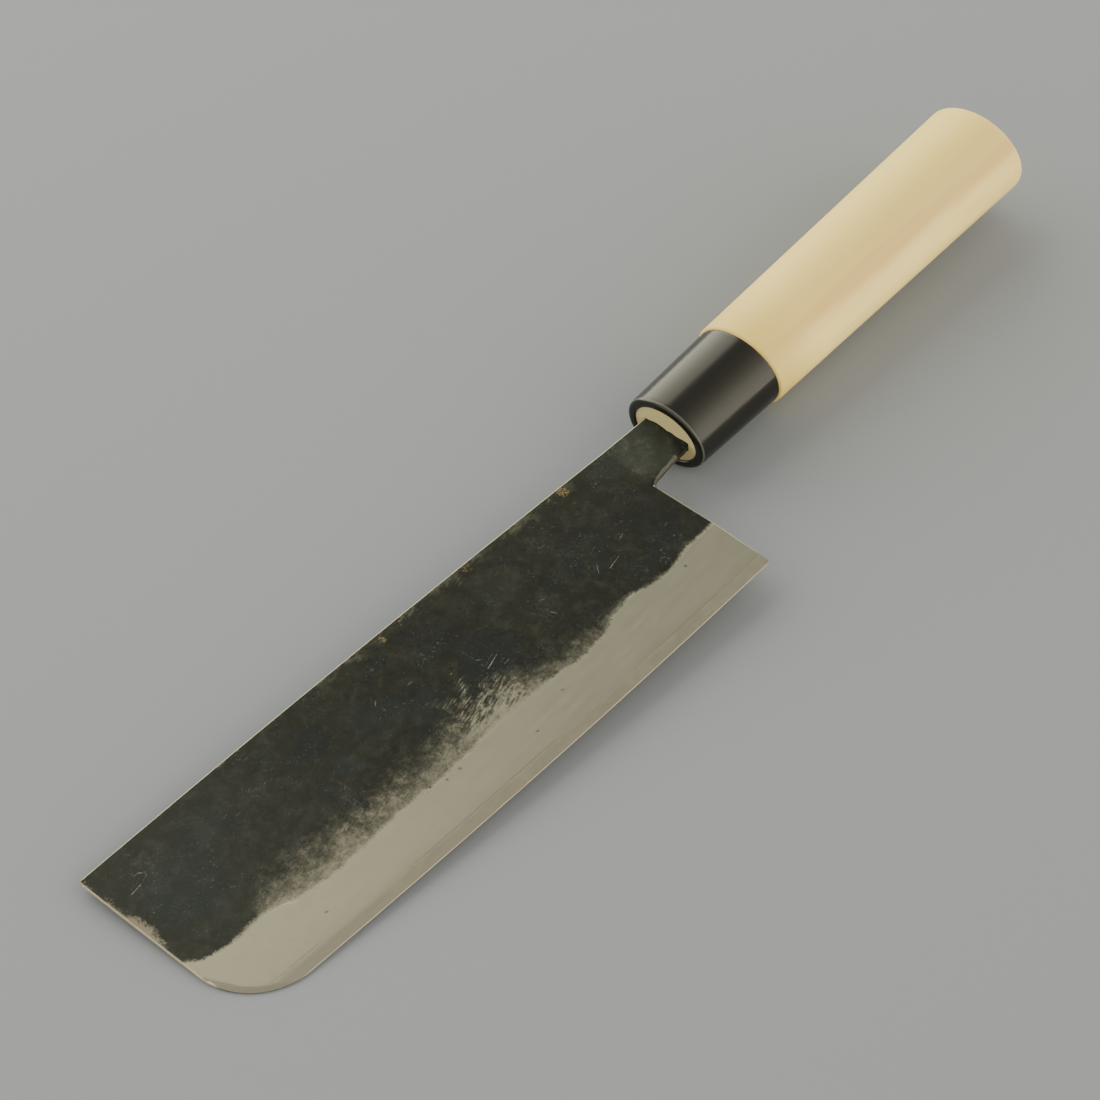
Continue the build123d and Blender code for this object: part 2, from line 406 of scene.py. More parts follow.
blade_columns, neck_columns, tang_columns, top_rows, low_rows = 400, 30, 30, 16, 40
low_shares = 1 - np.linspace(1, 0, low_rows + 1) ** 1.6
x, y, quads = steel_plan(blade_columns, neck_columns, tang_columns, top_rows, low_shares[1:])
half = np.minimum(steel_half_thickness(x, y), core_thickness / 2)
rim = free_edges(quads)
count = len(x)
points = np.concatenate([np.stack([x, y, half], 1), np.stack([x, y, -half], 1)])
wall = np.stack([rim[:, 0], rim[:, 0] + count, rim[:, 1] + count, rim[:, 1]], 1)
polygons = np.concatenate([quads, quads[:, ::-1] + count, wall])
above = (y - edge_y(np.clip(x, front_x, heel_x))) / mm
core = make_piece("steel_core", points, polygons.tolist(), core_paint(),
                  {"above": np.concatenate([above, above])})
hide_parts("core_steel")


# Soft iron claddings, forged onto both sides of the core. Their flats keep the black scale
# of the forge, and the wide bevel is ground bare through it, with a ragged border between.
# They go on into the neck, whose underside is a rough filed face.
import bmesh
cell = 0.34 * mm
tang_cells = 24
edge_roll = 0.12 * mm
upper_share = 0.3
# How far the surface lies inside the solid's: everywhere, where it is ground bare, at the mean
# of the scale's waves and of its grain, and at the deepest in the filed facet
cover = 0.008 * mm
ground_depth = 0.012 * mm
wave_depth = 0.025 * mm
grain_depth = 0.012 * mm
file_depth = 0.6 * mm
# Filed facet round the neck's lower edge: place along the knife and its width
neck_facet = mm * np.array([
    (-16, 0.25), (-13, 0.45), (-11, 0.60), (-9.7, 0.80), (-7.2, 0.55), (-4.7, 0.75), (-3, 0.3),
    (0, 0.1)])
bare_facet_end = -4.0 * mm
# Border of the scale: distance from the ferrule, height above the edge of the line below
# which all is bare and of the line above which all is scale, and how bare it is between
scale_border = np.array([
    (14, 17.2, 17.7, 0.5), (24, 16.7, 17.6, 0.5), (31, 15.4, 16.6, 0.5), (38, 15.8, 17.0, 0.5),
    (44, 17.6, 18.9, 0.5), (51, 16.8, 19.2, 0.5), (56, 15.0, 19.8, 0.5), (61, 14.0, 19.6, 0.55),
    (67, 14.5, 20.4, 0.55), (74, 15.6, 21.6, 0.65), (80, 16.0, 24.6, 0.95), (88, 16.0, 27.2, 1.0),
    (93, 15.6, 26.4, 1.0), (98, 15.2, 25.4, 0.85), (108, 14.7, 24.2, 0.65), (121, 15.0, 24.2, 0.65),
    (130, 14.5, 23.8, 0.75), (140, 13.8, 24.6, 0.8), (150, 14.8, 25.6, 0.8),
    (157, 17.0, 22.8, 0.75), (161, 17.6, 18.8, 0.6), (169, 17.2, 17.9, 0.5),
    (175, 18.0, 18.9, 0.5), (180, 22.0, 23.0, 0.5)])
# The least height over which bare steel turns to scale, which keeps the border's noise from
# turning the two round
least_worn = 0.4
# Patches of another colour on the scale: place along and across the knife, radius, how blue,
# how dark or, below zero, how light, and how rusty. Large dark ones have a darker rim
patches = np.array([
    (-77, -12, 7.0, 0.5, 1.0, 0), (-98, -11, 5.0, 0.5, 0.5, 0), (-120.3, 3.4, 4.0, 0.3, 0.9, 0),
    (-119.5, -8.2, 3.0, 0.8, -1.0, 0), (-166, -2.3, 8.5, 1.0, -0.2, 0), (-152, 5, 7.0, 0.5, 0.2, 0),
    (-106, -4, 6.0, 0.5, 0.2, 0), (-24, -14, 8.0, 0.0, 0.6, 0), (-38, -8, 9.0, 0.0, 0.4, 0),
    (-7, 1, 10.0, 0.4, -0.65, 0), (-17, 5, 6.0, 0.2, -0.35, 0), (-60, 0, 6.0, 0.0, -0.3, 0),
    (-30, 6.7, 1.6, 0, 0, 0.9), (-89, 10.2, 1.4, 0, 0, 0.6), (-83, 10.0, 1.0, 0, 0, 0.6),
    (-178.2, 15.2, 0.9, 0, 0, 0.5), (-34, 7.6, 1.0, 0, 0, 0.6), (-62, 9.0, 1.6, 0, 0, 0.5)])
# Light scratches, the last one in the bare iron: first end, last end and how light
scratches = np.array([
    (-169.9, 8.1, -168.7, 7.9, 1.0), (-168.7, 7.9, -168.0, 6.6, 1.0),
    (-168.3, 6.3, -170.6, 5.5, 0.4), (-170.6, 5.5, -173.8, 5.2, 0.7),
    (-76.1, -13.0, -80.2, -14.1, 0.7), (-75.4, -16.0, -76.8, -16.1, 0.4),
    (-79.5, -11.2, -80.3, -10.4, 0.35), (-36.8, -16.2, -40.8, -16.9, 0.6),
    (-41.8, -13.8, -43.3, -15.7, 0.35), (-31.0, -12.6, -33.4, -13.4, 0.35),
    (-59.5, -13.4, -58.5, -15.9, 0.55), (-57.0, -11.0, -58.4, -10.4, 0.3),
    (-94.0, -3.2, -95.4, -3.0, 0.45), (-103.0, -0.5, -104.0, -1.3, 0.4),
    (-154.8, -21.4, -152.0, -23.6, 0.9)])
# Small dark specks in the bare iron: place along and across the knife, radius
iron_specks = np.array([
    (-71.3, -26.6, 0.5), (-72.6, -26.9, 0.4), (-112.4, -25.6, 0.4), (-108.6, -27.2, 0.35),
    (-104.6, -27.4, 0.35), (-74, -31, 0.3), (-86, -34, 0.3), (-29, -30, 0.35), (-150, -30, 0.3)])


def value_noise(x, y, size, seed):
    """Smooth noise from -1 to 1 over the plane, with bumps about size apart.

    Random values on a square grid are blended with the smooth step of the place in its cell."""
    table = np.random.default_rng(seed).uniform(-1, 1, (256, 256))
    u, v = x / size + 1000, y / size + 1000
    i, j = np.floor(u).astype(int), np.floor(v).astype(int)
    s, t = smooth_step(0, 1, u - i), smooth_step(0, 1, v - j)
    near = table[i % 256, j % 256] * (1 - s) + table[(i + 1) % 256, j % 256] * s
    far = table[i % 256, (j + 1) % 256] * (1 - s) + table[(i + 1) % 256, (j + 1) % 256] * s
    return near * (1 - t) + far * t


def rough_noise(x, y, size, seed, octaves=4):
    """Sum of value noises, each with half the size and half the height of the last."""
    return sum(value_noise(x, y, size / 2 ** k, seed + k) / 2 ** k for k in range(octaves))


corner_y = neck_bottom + heel_x * neck_droop


def notch_facet(x, y):
    """How far a place lies inside the filed facet: its width there less the distance to the
    neck's bottom, to the round of the inner corner or to the heel."""
    bend_x, bend_y = heel_x + neck_radius, corner_y - neck_radius
    away = np.hypot(x - bend_x, y - bend_y) - neck_radius
    away = np.where(x > bend_x, y - (neck_bottom + x * neck_droop), away)
    away = np.where(y < bend_y, heel_x - x, away)
    width = np.interp(x, neck_facet[:, 0], neck_facet[:, 1])
    width = width * smooth_step(-12.5 * mm, -10 * mm, y)
    close = (away < 3 * mm) & (y > -13 * mm) & (x > heel_x - 3 * mm)
    return np.where(close, width - away, -3 * mm)


def cladding(side, seed):
    """One cladding: the steel's outer surface down to where the core starts to show, its
    border rolled over a small radius and dropped to the core's flat face, and that face."""
    low_rows = round((1 - upper_share) * heel_height / cell)
    x, y, quads = steel_plan(round(blade_length / cell), round(neck_length / cell), tang_cells,
                             round(upper_share * heel_height / cell),
                             np.linspace(0, 1, low_rows + 1)[1:])
    core = core_thickness / 2
    height = steel_half_thickness(x, y)
    showing = (height > core + core / 100)[quads].any(1)
    quads = quads[showing]
    for _ in range(3):
        reach = cell / 100
        rise = np.stack([steel_half_thickness(x + reach, y) - height,
                         steel_half_thickness(x, y + reach) - height]) / reach
        move = np.where(height < core, (core - height) / np.clip((rise ** 2).sum(0), 1e-4, None), 0)
        move = np.clip(move, 0, 10 * cell)
        x, y = x + rise[0] * move, y + rise[1] * move
        height = steel_half_thickness(x, y)
    height = np.maximum(height, core)

    above = y - edge_y(np.clip(x, front_x, heel_x))
    ragged = rough_noise(x, y, 5 * mm, seed) * 0.5
    low_line, high_line, thin = (np.interp(-x / mm, scale_border[:, 0], scale_border[:, k])
                                 for k in (1, 2, 3))
    if side < 0:  # the side that isn't in the photo has a border of its own
        drift = value_noise(x, 0 * y, 24 * mm, seed + 60) * 1.5
        low_line, high_line = low_line + drift, high_line + 0.4 * drift
    high_line = high_line + ragged * (1 + 0.25 * (high_line - low_line))
    bare = np.where(x > heel_x, -10, low_line + ragged * 0.6 - above / mm)
    worn_width = np.maximum(high_line - low_line, least_worn)
    haze = np.where(x > heel_x, 0, np.clip((high_line - above / mm) / worn_width, -1, 1))
    from_front = x - (front_x + (spine_chord(front_x) - y) * front_lean)
    along = np.clip((x - front_x) / blade_length, 0, 1)
    from_spine = spine_chord(x) + spine_bow * 4 * along * (1 - along) - y
    from_rim = np.minimum(from_spine, from_front)
    from_rim = np.where(y < corner_y, np.minimum(from_rim, heel_x - x), from_rim)
    front = 2.1 * np.exp(-((y / mm + 3.0) / 5.0) ** 2) + 0.75
    front = front + rough_noise(x, y, 3 * mm, seed + 20) * 0.3 - from_front / mm
    marks = {key: np.zeros(len(x)) for key in ("blue", "shade", "rust", "stain")}
    for place_x, place_y, radius, *amounts in patches:
        away = np.hypot(x / mm - place_x, y / mm - place_y)
        away = away + rough_noise(x, y, 0.8 * radius * mm, seed + 30) * 0.25 * radius
        patch = 1 - smooth_step(0.7 * radius, 1.2 * radius, away)
        for key, amount in zip(marks, amounts):
            stronger = np.abs(marks[key]) > abs(amount) * patch
            marks[key] = np.where(stronger, marks[key], amount * patch)
        if radius > 3 and amounts[1] > 0:
            ring = np.exp(-((away - radius) / 0.5) ** 2)
            marks["shade"] = np.maximum(marks["shade"], ring * amounts[1])
    for place_x, place_y, radius in iron_specks:
        away = np.hypot(x / mm - place_x, (y / mm - place_y) * 1.3)
        speck = 1 - smooth_step(0.5 * radius, 1.4 * radius, away)
        marks["stain"] = np.maximum(marks["stain"], speck)

    across, lightness = np.full(len(x), 1.0), np.zeros(len(x))
    for start_x, start_y, end_x, end_y, light in scratches if side > 0 else ():
        length = np.hypot(end_x - start_x, end_y - start_y)
        run_x, run_y = (end_x - start_x) / length, (end_y - start_y) / length
        go = (x / mm - start_x) * run_x + (y / mm - start_y) * run_y
        off = (y / mm - start_y) * run_x - (x / mm - start_x) * run_y
        near = (go > -0.5) & (go < length + 0.5) & (np.abs(off) < 1.0)
        across = np.where(near, off, across)
        from_end = smooth_step(-0.4, 0.2, np.minimum(go, length - go))
        lightness = np.where(near, light * from_end, lightness)
    marks.update(scratch_across=across, scratch=lightness)

    polish = smooth_step(-0.3, 0.3, bare)
    wave = (1 + 0.6 * value_noise(x, y, 16 * mm, seed + 40)
            + 0.4 * value_noise(x, y, 7 * mm, seed + 41))
    grain = 1 + rough_noise(x, y, 1.3 * mm, seed + 42, 3) / 1.75
    thick = smooth_step(0, 0.3 * mm, height - core)
    height = height - thick * (cover + polish * ground_depth
                               + wave * (1 - 0.8 * polish) * wave_depth
                               + grain * (1 - polish) * grain_depth)
    filed = notch_facet(x, y) + rough_noise(x, y, 2.0 * mm, seed + 50, 3) * 0.18 * mm
    height = height - np.clip(filed, 0, file_depth) * smooth_step(0, 0.4 * mm, height - core)

    edges = free_edges(quads)
    run = np.stack([x, y], 1)[edges[:, 1]] - np.stack([x, y], 1)[edges[:, 0]]
    outward = np.zeros((len(x), 2))
    np.add.at(outward, edges[:, 0], run[:, ::-1] * (1, -1))
    np.add.at(outward, edges[:, 1], run[:, ::-1] * (1, -1))
    outward /= np.maximum(np.linalg.norm(outward, axis=1), 1e-12)[:, None]
    roll = np.minimum(edge_roll, 0.6 * (height - core))
    rim = np.unique(edges)
    place = np.full(len(x), -1)
    place[rim] = np.arange(len(rim))
    at = np.stack([x, y], 1)
    levels = []
    for angle in np.radians((30, 60, 90)):
        inset = roll[rim] * (1 - np.sin(angle))
        levels.append(np.column_stack([at[rim] - outward[rim] * inset[:, None],
                                       height[rim] - roll[rim] * (1 - np.cos(angle))]))
    levels.append(np.column_stack([at[rim], np.full(len(rim), core)]))
    at[rim] -= outward[rim] * roll[rim][:, None]
    points = np.concatenate([np.column_stack([at, height])] + levels)
    first, second = place[edges[:, 0]], place[edges[:, 1]]
    rings = [(edges[:, 0], edges[:, 1])]
    rings += [(first + len(x) + k * len(rim), second + len(x) + k * len(rim)) for k in range(4)]
    walls = [np.stack([a, c, d, b], 1) for (a, b), (c, d) in zip(rings, rings[1:])]
    polygons = np.concatenate([quads] + walls)
    used, polygons = np.unique(polygons, return_inverse=True)
    polygons = polygons.reshape(-1, 4)
    points = points[used] * (1, 1, side)
    filed = np.minimum(filed, bare_facet_end - x)
    fields = {"bare": bare, "haze": haze, "thin": thin, "front": front, "above": above / mm,
              "filed": filed / mm, "spine": from_spine / mm, **marks}
    fields = {key: np.concatenate([v] + [v[rim]] * 4)[used] for key, v in fields.items()}
    rim_levels = [np.clip(from_rim[rim] / mm, 0, 1) + fall for fall in (0.0, 0.05, 0.15, 0.6)]
    fields["rim"] = np.concatenate([from_rim / mm] + rim_levels)[used]
    return points, polygons if side > 0 else polygons[:, ::-1], fields


def close_flat(piece):
    """Merges the points that meet where the layer runs out, and fills the open flat face."""
    mesh = bmesh.new()
    mesh.from_mesh(piece.data)
    bmesh.ops.remove_doubles(mesh, verts=mesh.verts, dist=mm / 5000)
    bmesh.ops.dissolve_degenerate(mesh, edges=mesh.edges, dist=mm / 5000)
    open_edges = [edge for edge in mesh.edges if edge.is_boundary]
    bmesh.ops.holes_fill(mesh, edges=open_edges, sides=0)
    mesh.to_mesh(piece.data)
    mesh.free()
    piece.data.set_sharp_from_angle(angle=crease)


def cladding_paint():
    """Black forge scale over bare iron. Below the scale's lower line the iron is ground clean.
    Above it the scale is worn through in wisps, grains and strokes, less and less towards its
    upper line. The rims of the spine and the front end are rubbed, with their very edge painted
    as a light line for its highlight, and the neck's facet filed."""
    paint = Paint("forged_cladding")
    place = paint.knife()
    (bare, haze, thin, front, above, filed, spine, rim, blue, shade, rust, stain, across,
     scratch) = (paint.field(name) for name in (
         "bare", "haze", "thin", "front", "above", "filed", "spine", "rim", "blue", "shade", "rust",
         "stain", "scratch_across", "scratch"))
    grain = paint.noise(place, 0.6, 5.0, 0.75)
    wisps = paint.noise(place, 2.2, 7.0, 0.72, 0.35)
    strokes = paint.node("ShaderNodeCombineXYZ", {}, {
        "X": paint.along(0.24, 0.06), "Y": paint.along(-0.36, 1.45)})
    brushed = paint.noise(strokes, 0.8, 3.0, 0.6, 0.3)
    blotches = paint.noise(place, 5.0, 6.0, 0.62, 0.3)
    clouds = paint.noise(place, 18.0, 4.0, 0.55)
    streaks = paint.noise(paint.knife((0.15, 1, 1)), 1.4)
    mottle = paint.noise(place, 3.2, 5.0, 0.65, 0.4)
    patchy = paint.noise(place, 9.0, 4.0, 0.6, 0.6)
    pits = paint.noise(place, 1.4, 3.0, 0.6)
    dots = paint.noise(place, 0.42, 2.0, 0.6)
    flakes = paint.noise(place, 0.8, 3.0, 0.7)
    to_front = paint.along(-1)
    # Swings of the noises about their middle
    grain_swing, wisps_swing, mottle_swing, brushed_swing, blotches_swing, clouds_swing = (
        noise - 0.5 for noise in (grain, wisps, mottle, brushed, blotches, clouds))

    # Where the scale is gone: ground clean, worn hazy, rubbed on the rims, with a highlight line
    # painted along the rims' very edge
    soft = paint.step(thin, 0.52, 0.70) + 0.30
    clean = paint.step(bare + grain_swing * 2.4 + wisps_swing * 2.2, -0.50 - soft, 0.50)
    mottles = grain_swing + wisps_swing * 1.1 + mottle_swing * 1.5 + brushed_swing * 0.5
    streaky = paint.step(thin, 0.85, 1.0)
    sharp = streaky * 0.28 + 0.26
    soft_haze = paint.step(haze + mottles, -0.2, 1.75)
    stroke_haze = paint.step(haze + mottles * (1.6 - streaky * 0.45)
                             + streaky * (brushed_swing * 2.9 + 0.35), 0.35, 1.35)
    hazy = (soft_haze * (1 - sharp) + stroke_haze * sharp) * thin
    rubbed = paint.step(spine + grain_swing * 3.0 + blotches_swing * 6.0, 0.1, -0.9) * 0.4
    # The rims' very edge: rubbed bare, and painted lighter than the iron as a highlight line
    rim_wear_and_highlight = paint.step(rim + grain_swing * 0.3, 0.24, 0.10) * 0.8
    end_strip = paint.step(front + grain_swing * 4.0 + wisps_swing * 4.5, -0.2, 1.9) * 0.66
    worn = paint.highest(clean, hazy, rubbed, end_strip, rim_wear_and_highlight)

    # Marks in the scale
    weathered = paint.step(spine + blotches_swing * 12.0 + brushed_swing * 5.0, 2.6, -0.6)
    weathered = weathered * paint.step(to_front, 20.0, 34.0) * paint.step(to_front, 118.0, 95.0)
    smoky = paint.step(blotches * 0.7 + mottle * 0.3 + grain_swing * 0.12, 0.44, 0.68)
    specks = dots + clouds_swing * 0.4 + blotches_swing * 0.3 + shade * 0.02
    stroke = paint.math("ABSOLUTE", across + grain_swing * 0.4)
    stroke = paint.step(stroke, 0.12, 0.03) * scratch
    rusty = paint.step(rust + grain_swing * 4.6, 0.60, 1.15) * 0.75
    scale = paint.coats(
        paint.mix(clouds, (0.0074, 0.0083, 0.0069), (0.0128, 0.0143, 0.0114)),
        (paint.step(blotches, 0.38, 0.72), (0.0164, 0.0182, 0.0148)),
        (paint.step(patchy, 0.48, 0.62) * 0.75, (0.0094, 0.0120, 0.0128)),
        (paint.step(wisps, 0.50, 0.80) * 0.7, (0.0200, 0.0214, 0.0166)),
        (paint.step(mottle, 0.52, 0.66) * 0.6, (0.0222, 0.0246, 0.0192)),
        (paint.step(mottle, 0.46, 0.36) * 0.5, (0.0075, 0.0085, 0.0075)),
        (paint.step(pits, 0.60, 0.68) * 0.6, (0.0055, 0.0062, 0.0052)),
        (paint.step(to_front, 90.0, 175.0) * 0.55, (0.0254, 0.0280, 0.0262)),
        (blue * paint.step(wisps, 0.25, 0.60) * 0.7, (0.017, 0.022, 0.0245)),
        (weathered * paint.step(wisps, 0.38, 0.60) * 0.8, (0.060, 0.064, 0.049)),
        (smoky * paint.step(to_front, 105.0, 150.0) * 0.30, (0.040, 0.0445, 0.0410)),
        (paint.step(shade, 0.0, 1.6), (0.0078, 0.0100, 0.0118)),
        (paint.step(shade, 0.0, -1.6), (0.045, 0.052, 0.043)),
        (paint.step(specks, 0.69, 0.77) * 0.5, (0.10, 0.11, 0.088)),
        (paint.step(flakes + (patchy - 0.5) * 0.5, 0.66, 0.74) * 0.35, (0.10, 0.104, 0.082)),
        (stroke * paint.step(wisps, 0.40, 0.55), (0.26, 0.27, 0.24)),
        (rusty, paint.mix(grain, (0.03, 0.022, 0.010), (0.26, 0.19, 0.09))))

    # The bare iron, painted lighter towards the front end as the brighter reflection there, warmer
    # towards the front end with tarnish, and darker by the core's strip
    tarnish = paint.step(mottle, 0.46, 0.64) * paint.step(to_front, 115.0, 160.0) * 0.35
    iron = paint.coats(
        paint.mix(streaks, (0.206, 0.205, 0.164), (0.245, 0.244, 0.201)),
        (paint.step(blotches, 0.35, 0.70) * 0.35, (0.214, 0.203, 0.158)),
        # Painted reflection: the iron lighter towards the front end, where it reflects more light
        (paint.step(to_front, 60.0, 175.0), (0.282, 0.273, 0.219)),
        (tarnish, (0.250, 0.228, 0.176)),
        (paint.step(above, 6.5, 2.0) * 0.28, (0.183, 0.172, 0.135)),
        (hazy * (1 - clean) * 0.6, paint.mix(grain, (0.13, 0.12, 0.08), (0.30, 0.29, 0.22))),
        (end_strip * 1.2, (0.245, 0.198, 0.150)),
        (rubbed * 1.5, (0.13, 0.105, 0.065)),
        (stroke * 0.7, (0.42, 0.41, 0.36)),
        # Painted highlight along the rims' very edge, over their bare wear
        (rim_wear_and_highlight, (0.50, 0.46, 0.34)),
        (stain * 0.85, (0.035, 0.028, 0.020)))
    rough_file = paint.step(filed + grain_swing * 0.5, -0.05, 0.15)
    colour = paint.mix(rough_file, paint.mix(worn, scale, iron),
                       paint.mix(grain, (0.035, 0.037, 0.027), (0.115, 0.118, 0.090)))
    height = (1 - worn) * (grain * 0.5 + blotches * 0.8 + 0.6)
    return paint.surface(
        Base_Color=colour, Metallic=worn * (1 - rough_file) * (1 - rim_wear_and_highlight * 0.7) * 0.75,
        Roughness=(1 - worn) * (grain * 0.25 + 0.36) + worn * (streaks * 0.1 + 0.30),
        Normal=paint.bump(height, 0.06 * mm), Specular_IOR_Level=0.07)


cladding_material = cladding_paint()
for node, side, seed in (("cladding_left", 1, 3), ("cladding_right", -1, 103)):
    points, polygons, fields = cladding(side, seed)
    piece = make_piece("forged_" + node, points, polygons.tolist(), cladding_material, fields)
    close_flat(piece)
    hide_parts(node)


# Ferrule: a turned black sleeve, polished, slightly wider at the back, with a rounded lip.
# It is pressed over the tenon of the wooden handle.
oval_share = 0.806
ferrule_length = 28.9 * mm
ferrule_front = 11.85 * mm
ferrule_rear = 12.6 * mm
lip_radius = 1.1 * mm
mouth_radius = 0.25 * mm
bore_half_width = 9.5 * mm
bore_half_thickness = 7.25 * mm
rear_round = 0.15 * mm
around = 192
round_turn = np.linspace(0, 2 * np.pi, around, endpoint=False)


def ring_quads(rings, columns, closed):
    """Quads of rings joined one to the next, and the last to the first if closed."""
    number = np.arange(rings * columns).reshape(rings, columns)
    if closed:
        number = np.concatenate([number, number[:1]])
    number = np.concatenate([number, number[:, :1]], 1)
    return np.stack([number[:-1, :-1], number[:-1, 1:], number[1:, 1:], number[1:, :-1]],
                    -1).reshape(-1, 4)


def oval_rings(x, half_width, half_thickness):
    """Rings of an oval along x: half_width times the cosine up, half_thickness times the sine
    out of the side."""
    return np.stack([np.broadcast_to(x[:, None], (len(x), around)),
                     half_width[:, None] * np.cos(round_turn),
                     half_thickness[:, None] * np.sin(round_turn)], -1)


def rounding(steps):
    """Cosine and sine of a quarter turn in equal steps."""
    turn = np.linspace(0, np.pi / 2, steps)
    return np.cos(turn), np.sin(turn)


def ferrule_paint():
    """Polished black, faintly wavy, with hairlines along it, a lighter ring painted on the lip's
    crown as its highlight and a faint seam at the back of the left side."""
    paint = Paint("polished_black_ferrule")
    waves = paint.noise(paint.knife((0.12, 1, 1)), 2.5, 2.0)
    hairs = paint.step(paint.noise(paint.knife((0.02, 1, 1)), 0.5, 3.0), 0.55, 0.8)
    along = paint.along()
    # Painted highlight: a lighter ring on the lip's crown
    crown_highlight = paint.step(along, 0.30, 0.50) * paint.step(along, 0.95, 0.65)
    off_seam = paint.math("ABSOLUTE", paint.along(0, 0.3795, 0.925))
    seam = paint.step(off_seam, 0.11, 0.03) * paint.step(along, 18.0, 25.0) * paint.step(
        paint.along(0, 0, 1), 0.0, 0.5) * 0.7
    colour = paint.coats(
        paint.mix(waves, (0.006, 0.006, 0.005), (0.010, 0.010, 0.008)),
        (crown_highlight, (0.075, 0.075, 0.068)),
        (seam, (0.06, 0.06, 0.055)))
    return paint.surface(
        Base_Color=colour, Roughness=hairs * 0.08 + 0.21, Normal=paint.bump(waves, 0.02 * mm),
        Specular_IOR_Level=0.33)


cos, sin = rounding(9)
lip_x, lip_inset = lip_radius * (1 - sin), lip_radius * (1 - cos)
mouth_cos, mouth_sin = rounding(4)
body_x = np.linspace(lip_radius, ferrule_length - rear_round, 40)[1:-1]
rear_x, rear_inset = ferrule_length - rear_round * (1 - mouth_sin), rear_round * (1 - mouth_cos)
outer_x = np.concatenate([lip_x[::-1], body_x, rear_x])
outer_inset = np.concatenate([lip_inset[::-1], 0 * body_x, rear_inset])
outer = ferrule_front + outer_x / ferrule_length * (ferrule_rear - ferrule_front)
inner_x = np.concatenate([np.linspace(ferrule_length, mouth_radius, 12),
                          mouth_radius * (1 - mouth_sin)[1:]])
inner_gap = np.concatenate([np.zeros(12), mouth_radius * (1 - mouth_cos)[1:]])
half_width = np.concatenate([outer - outer_inset, bore_half_width + inner_gap])
half_thickness = np.concatenate([outer * oval_share - outer_inset, bore_half_thickness + inner_gap])
rings = oval_rings(np.concatenate([outer_x, inner_x]), half_width, half_thickness)
piece = make_piece("black_ferrule", rings.reshape(-1, 3),
                   ring_quads(len(rings), around, True).tolist(), ferrule_paint())
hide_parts("ferrule")


# Handle: one piece of white wood, oval in section, sanded and left bare. Its tenon fills
# the ferrule's mouth, and the tang sits in a slot burned into it.
shoulder_half_width = 13.2 * mm
butt_half_width = 14.8 * mm
shoulder_radius = 0.8 * mm
butt_radius = 1.7 * mm
tenon_recess = 0.35 * mm
tenon_clearance = 0.1 * mm
tenon_round = 0.15 * mm
tang_clearance = 0.12 * mm
tang_end_clearance = 1.5 * mm
butt_inset = 0.004 * mm
slot_wander = 0.22 * mm
slot_chip = 0.45 * mm
chip_middle = 2.4 * mm
chip_half = 2.2 * mm


def wood_paint():
    """Pale wood, nearly plain: yellower towards the spine, tan beyond one faint growth line
    that runs the whole length and painted pale again low down towards the edge, as the light
    bounced onto that side from the floor, deeper in colour by the ferrule, with darker, greener
    end grain in the mouth and on the butt."""
    paint = Paint("bare_white_wood")
    place = paint.knife()
    wander = paint.noise(paint.knife((0.03, 0.3, 0.3)), 1.0, 2.0)
    lines = paint.noise(paint.knife((0.02, 1, 1)), 0.8, 4.0, 0.6)
    clouds = paint.noise(paint.knife((0.15, 1, 1)), 7.0, 3.0)
    dots = paint.noise(place, 0.6, 3.0)
    ring = paint.along(0.028, 1.0, 0.12) + (wander - 0.5) * 3.0 + 4.2
    near = 1 - paint.step(paint.math("ABSOLUTE", ring), 0.05, 0.7)
    colour = paint.coats(
        paint.mix(paint.step(ring, 3.0, 15.0), (0.69, 0.515, 0.152), (0.80, 0.61, 0.160)),
        (paint.step(ring, 0.4, -1.2), (0.66, 0.455, 0.142)),
        # Painted light: paler low down towards the edge, for the light bounced onto that side from
        # the floor
        (paint.step(ring, -2.0, -6.5), (0.94, 0.75, 0.270)),
        (paint.step(paint.along(), 48.0, 30.0) * 0.8, (0.63, 0.455, 0.115)),
        (paint.step(clouds, 0.40, 0.75) * 0.35, (0.66, 0.46, 0.15)),
        (near * paint.step(clouds, 0.35, 0.55) * 0.35, (0.52, 0.38, 0.12)),
        (paint.step(lines, 0.45, 0.80) * 0.16, (0.55, 0.38, 0.12)),
        (paint.field("end_grain"),
         paint.mix(dots, (0.415, 0.350, 0.177), (0.480, 0.412, 0.222))))
    return paint.surface(Base_Color=colour, Roughness=lines * 0.15 + 0.50,
                         Normal=paint.bump(lines, 0.012 * mm))


def slot_ring(x, gap):
    """The slot's rectangle at x: 1.2 times the roots of cosine and sine, cut off at one."""
    depth = x / tang_depth
    top = neck_above_axis + depth * (tang_end_above_axis - neck_above_axis)
    tall = neck_height + depth * (tang_end_height - neck_height)
    thick = neck_thickness + depth * (tang_end_thickness - neck_thickness)

    def squared(wave):
        return np.clip(1.2 * np.sign(wave) * np.sqrt(np.abs(wave)), -1, 1)

    return np.stack([np.full(around, x),
                     top - tall / 2 + (tall / 2 + gap) * squared(np.cos(round_turn)),
                     (thick / 2 + gap) * squared(np.sin(round_turn))], -1)


